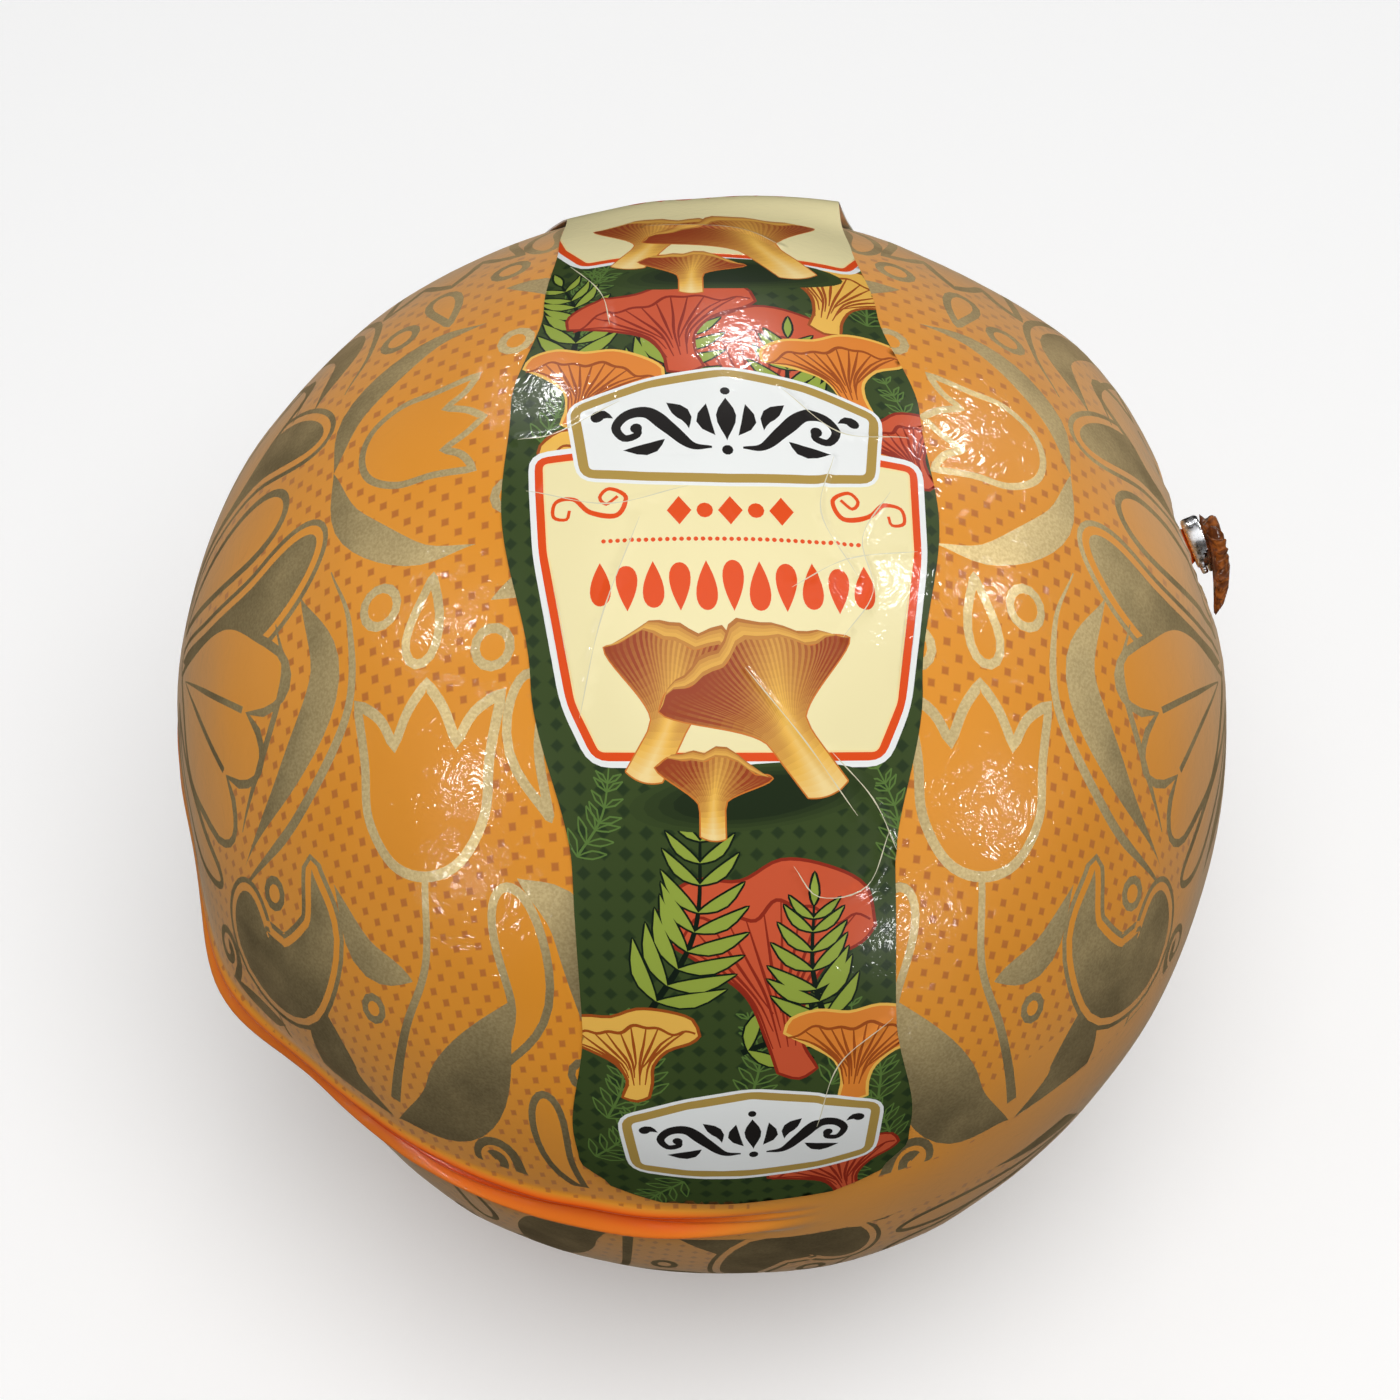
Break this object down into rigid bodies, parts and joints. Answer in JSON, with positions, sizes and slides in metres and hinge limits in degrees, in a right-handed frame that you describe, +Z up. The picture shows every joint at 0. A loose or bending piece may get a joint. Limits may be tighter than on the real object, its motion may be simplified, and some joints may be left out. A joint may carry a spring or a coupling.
{
  "type": "ball of cheese",
  "caption": "Whole round cheese sealed in glossy orange printed film, with a long printed label over the top, a folded seal round one side and a metal clip on the gathered end.",
  "frame": {"origin": "middle of the small flat that the ball rests on", "axes": "+Z up, -Y towards the label's front end, +X towards the clipped end of the film"},
  "size_m": [0.1501, 0.1523, 0.1486],
  "materials": {
    "printed_film": "glossy orange film printed with dull gold ornament and small brown dots",
    "label": "glossy printed label, dark green with a cream panel",
    "clip_metal": "bright drawn wire"
  },
  "bodies": {
    "root": {"film_ball": "printed_film", "label": "label", "clip": "clip_metal"}
  },
  "joints": []
}
